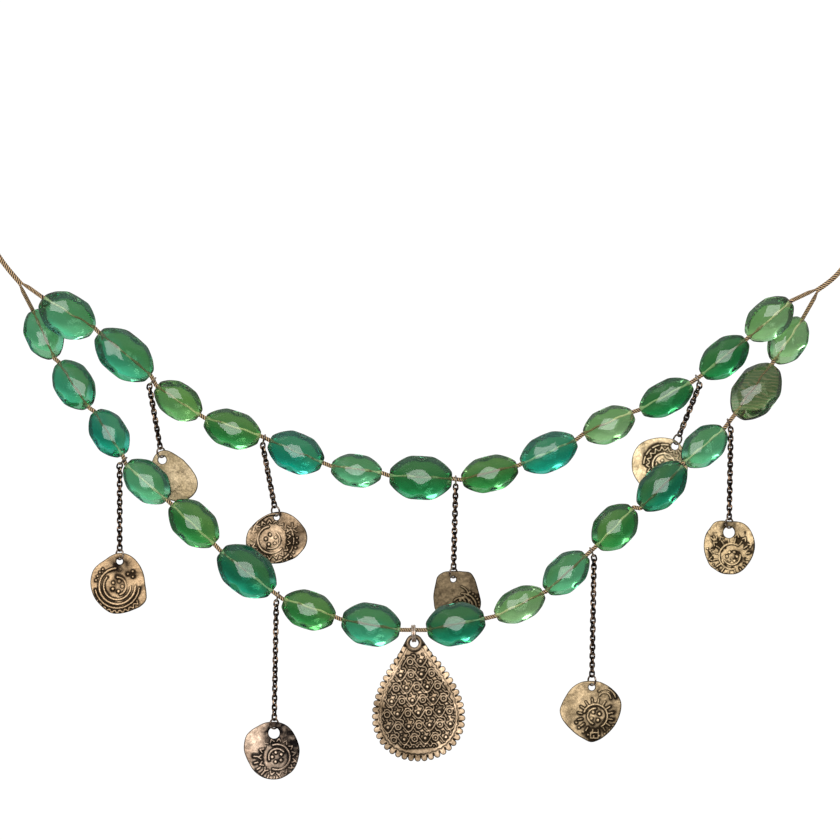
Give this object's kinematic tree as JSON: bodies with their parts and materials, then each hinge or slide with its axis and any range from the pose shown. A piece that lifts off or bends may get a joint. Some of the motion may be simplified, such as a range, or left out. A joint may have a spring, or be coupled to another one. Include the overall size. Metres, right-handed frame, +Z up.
{
  "type": "charm necklace",
  "caption": "Necklace with an inner and an outer strand of faceted oval glass beads on a cord, with worn coin charms on fine chains and a teardrop pendant with a scalloped edge.",
  "frame": {"origin": "the nape: centre of the barrel clasp, where the loop rests over the back of the neck", "axes": "+X along the necklace to its right as seen from the front, -Y is the front, +Z is up; the strands hang in a plane 100 mm in front of the origin"},
  "size_m": [0.2399, 0.1102, 0.2168],
  "materials": {
    "glass_pale": "polished, translucent pale green",
    "glass_green": "polished, translucent green",
    "glass_teal": "polished, translucent teal green",
    "glass_deep": "polished, translucent deep emerald",
    "glass_moss": "polished, cloudy brown-green with fine striations",
    "cord": "twisted cord, light tan and dark brown strands",
    "chain_metal": "dark oxidised",
    "coin_silver": "worn antique silver",
    "coin_gold": "worn pale gold, dark in the hollows",
    "coin_bronze": "worn bronze, dark in the hollows",
    "clasp_metal": "plain, antique",
    "bail_metal": "bright silver wire",
    "pendant_metal": "warm antique silver, dark in the hollows"
  },
  "bodies": {
    "necklace": {"inner_bead_1": "glass_pale", "inner_bead_2": "glass_green", "inner_bead_3": "glass_green", "inner_bead_4": "glass_green", "inner_bead_5": "glass_teal", "inner_bead_6": "glass_pale", "inner_bead_7": "glass_deep", "inner_bead_8": "glass_green", "inner_bead_9": "glass_teal", "inner_bead_10": "glass_pale", "inner_bead_11": "glass_deep", "inner_bead_12": "glass_deep", "inner_bead_13": "glass_pale", "outer_bead_1": "glass_green", "outer_bead_2": "glass_teal", "outer_bead_3": "glass_teal", "outer_bead_4": "glass_green", "outer_bead_5": "glass_green", "outer_bead_6": "glass_deep", "outer_bead_7": "glass_green", "outer_bead_8": "glass_deep", "outer_bead_9": "glass_deep", "outer_bead_10": "glass_green", "outer_bead_11": "glass_teal", "outer_bead_12": "glass_green", "outer_bead_13": "glass_teal", "outer_bead_14": "glass_teal", "outer_bead_15": "glass_moss", "outer_bead_16": "glass_pale", "chain_1": "chain_metal", "chain_2": "chain_metal", "chain_3": "chain_metal", "chain_4": "chain_metal", "chain_5": "chain_metal", "chain_6": "chain_metal", "chain_7": "chain_metal", "chain_8": "chain_metal", "coin_1": "coin_silver", "coin_2": "coin_silver", "coin_3": "coin_bronze", "coin_4": "coin_gold", "coin_5": "coin_bronze", "coin_6": "coin_silver", "coin_7": "coin_bronze", "coin_8": "coin_gold", "inner_thread": "cord", "outer_thread": "cord", "neck_cord_left": "cord", "neck_cord_right": "cord", "clasp": "clasp_metal"},
    "hanging_pendant": {"pendant": "pendant_metal", "bail": "bail_metal"}
  },
  "joints": [
    {"name": "pendant_swing", "type": "hinge", "parent": "necklace", "child": "hanging_pendant", "pos_m": [-0.00164, -0.104, -0.17729], "axis": [1, 0, 0], "range_deg": [-80, 80]}
  ]
}
